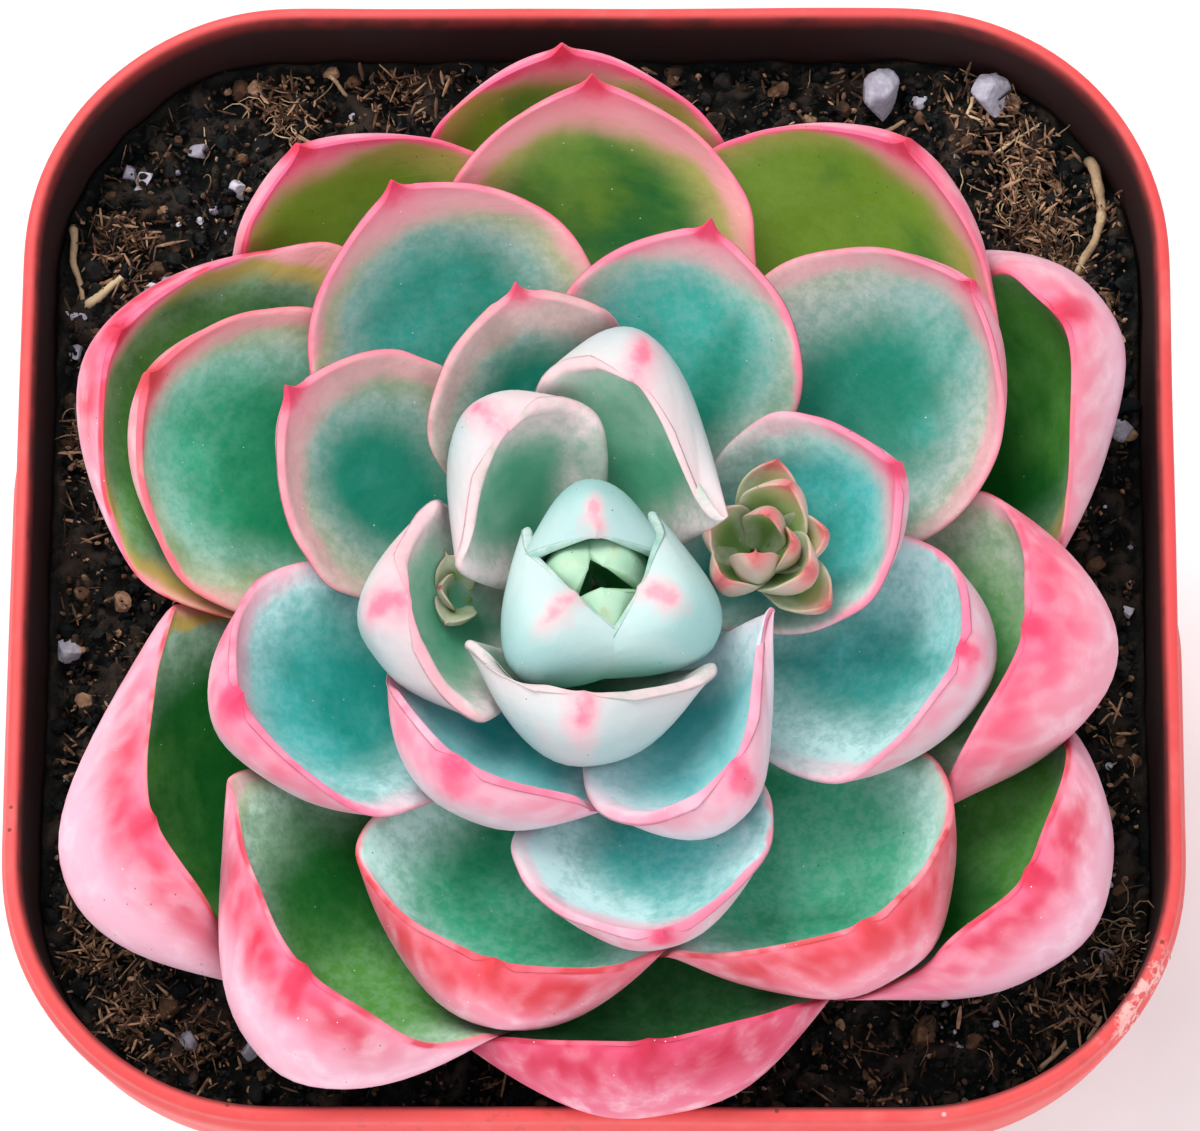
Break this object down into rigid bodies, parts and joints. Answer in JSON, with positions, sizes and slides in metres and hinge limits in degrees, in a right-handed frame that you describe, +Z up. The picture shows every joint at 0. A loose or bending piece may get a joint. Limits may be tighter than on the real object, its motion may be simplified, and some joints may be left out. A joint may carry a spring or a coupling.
{
  "type": "potted succulent",
  "caption": "Rosette succulent with thick cupped pink-edged leaves and a small side rosette, growing in soil in a square plastic pot with rounded corners.",
  "frame": {"origin": "middle of the pot's flat underside", "axes": "+Z up, -Y towards the front of the pot, which the picture has at its lower edge"},
  "size_m": [0.0898, 0.0894, 0.0879],
  "materials": {
    "pot": "satin, dusty",
    "soil": "rough peat with perlite and fibres",
    "stem": "matt",
    "heart": "waxy living leaf",
    "leaf_inner": "waxy living leaf with a pale bloom",
    "leaf_middle": "waxy living leaf with a pale bloom",
    "leaf_outer": "waxy living leaf, flushed pink",
    "offset": "waxy living leaf with red tips"
  },
  "bodies": {
    "root": {"pot": "pot", "soil": "soil", "stem": "stem", "heart_leaf_1": "heart", "heart_leaf_2": "heart", "heart_leaf_3": "heart", "leaf_01": "leaf_inner", "leaf_02": "leaf_inner", "leaf_03": "leaf_inner", "leaf_04": "leaf_inner", "leaf_05": "leaf_inner", "leaf_06": "leaf_inner", "leaf_07": "leaf_inner", "leaf_08": "leaf_inner", "leaf_09": "leaf_middle", "leaf_10": "leaf_middle", "leaf_11": "leaf_middle", "leaf_12": "leaf_middle", "leaf_13": "leaf_middle", "leaf_14": "leaf_middle", "leaf_15": "leaf_middle", "leaf_16": "leaf_middle", "leaf_17": "leaf_middle", "leaf_18": "leaf_middle", "leaf_19": "leaf_middle", "leaf_20": "leaf_middle", "leaf_21": "leaf_middle", "leaf_22": "leaf_middle", "leaf_23": "leaf_outer", "leaf_24": "leaf_outer", "leaf_25": "leaf_outer", "leaf_26": "leaf_outer", "leaf_27": "leaf_outer", "leaf_28": "leaf_outer", "leaf_29": "leaf_outer", "leaf_30": "leaf_outer", "leaf_31": "leaf_outer", "leaf_32": "leaf_outer", "offset_rosette": "offset", "side_bud": "offset"}
  },
  "joints": []
}
